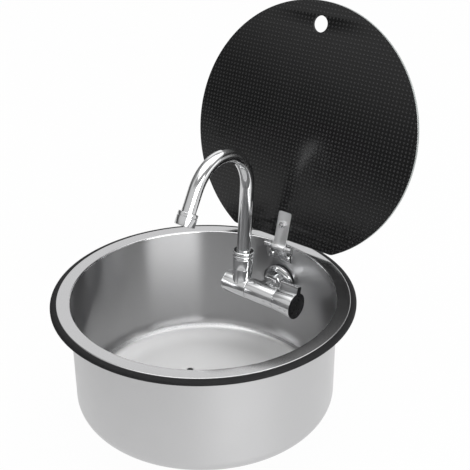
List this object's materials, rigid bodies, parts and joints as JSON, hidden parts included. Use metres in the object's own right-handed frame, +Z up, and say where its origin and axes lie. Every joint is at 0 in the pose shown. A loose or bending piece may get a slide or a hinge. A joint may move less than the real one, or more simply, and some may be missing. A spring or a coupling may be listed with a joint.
{
  "type": "camper sink with folding tap and glass lid",
  "caption": "Round steel drop-in sink for a camper, with a hinged dark glass lid and a chrome tap that folds down inside the bowl under the lid.",
  "frame": {"origin": "on the bowl's axis in the plane of the worktop, which is the underside of the rim seal", "axes": "+Z up out of the bowl, +X along the lid hinge towards the handle end of the tap, +Y towards the hinge side"},
  "size_m": [0.3532, 0.4139, 0.4868],
  "materials": {
    "bowl_steel": "satin",
    "seal_rubber": "matte",
    "gasket_rubber": "matte",
    "drain_plastic": "matte",
    "brass": "plain",
    "fastener_steel": "satin",
    "hinge_steel": "polished",
    "lid_glass": "dark printed, dotted",
    "nylon": "matte",
    "tap_chrome": "polished",
    "handle_dark": "gloss"
  },
  "bodies": {
    "sink": {"sink_bowl": "bowl_steel", "rim_seal": "seal_rubber", "drain_gasket": "gasket_rubber", "drain_cup": "drain_plastic", "drain_insert": "brass", "drain_screw": "fastener_steel", "hinge_leaf": "hinge_steel", "hinge_pin": "fastener_steel", "hinge_leaf_screws": "fastener_steel", "hinge_leaf_nuts": "fastener_steel", "tap_body": "tap_chrome", "pivot_o_rings": "gasket_rubber", "pivot_washer": "fastener_steel", "pivot_screw": "fastener_steel", "tap_shank": "brass", "shank_collar": "tap_chrome", "wall_rose": "tap_chrome", "rose_gasket": "gasket_rubber", "back_gasket": "gasket_rubber", "back_washer": "fastener_steel", "lock_nut": "brass", "valve_cartridge": "nylon", "cartridge_nut": "brass"},
    "lid": {"glass_lid": "lid_glass", "lid_strap": "hinge_steel", "lid_pad": "gasket_rubber", "lid_bush": "nylon", "lid_washer": "nylon", "lid_bolt": "fastener_steel", "lid_nut": "fastener_steel"},
    "carrier": {"spout_carrier": "tap_chrome", "carrier_cap": "tap_chrome", "spout_nut": "tap_chrome"},
    "spout": {"spout_tube": "tap_chrome", "spout_bush": "nylon", "bush_o_rings": "gasket_rubber", "aerator_housing": "tap_chrome", "aerator_cage": "nylon"},
    "handle": {"tap_handle": "tap_chrome", "handle_plate": "handle_dark", "handle_screw": "fastener_steel", "valve_stem": "brass"}
  },
  "joints": [
    {"name": "lid_hinge", "type": "hinge", "parent": "sink", "child": "lid", "pos_m": [0, 0.1476, 0.0014], "axis": [1, 0, 0], "range_deg": [0, 105.5]},
    {"name": "spout_fold", "type": "hinge", "parent": "sink", "child": "carrier", "pos_m": [0, 0.113, -0.0493], "axis": [1, 0, 0], "range_deg": [0, 95]},
    {"name": "spout_swivel", "type": "hinge", "parent": "carrier", "child": "spout", "pos_m": [-0.031, 0.113, -0.0493], "axis": [0, 0.0785, 0.9969], "range_deg": [0, 90]},
    {"name": "handle_turn", "type": "hinge", "parent": "sink", "child": "handle", "pos_m": [0, 0.113, -0.0493], "axis": [1, 0, 0], "range_deg": [0, 90]}
  ],
  "couplings": [
    {"joint": "spout_fold", "follows": "lid_hinge", "ratio": 0.9},
    {"joint": "spout_swivel", "follows": "lid_hinge", "ratio": 0.85}
  ]
}
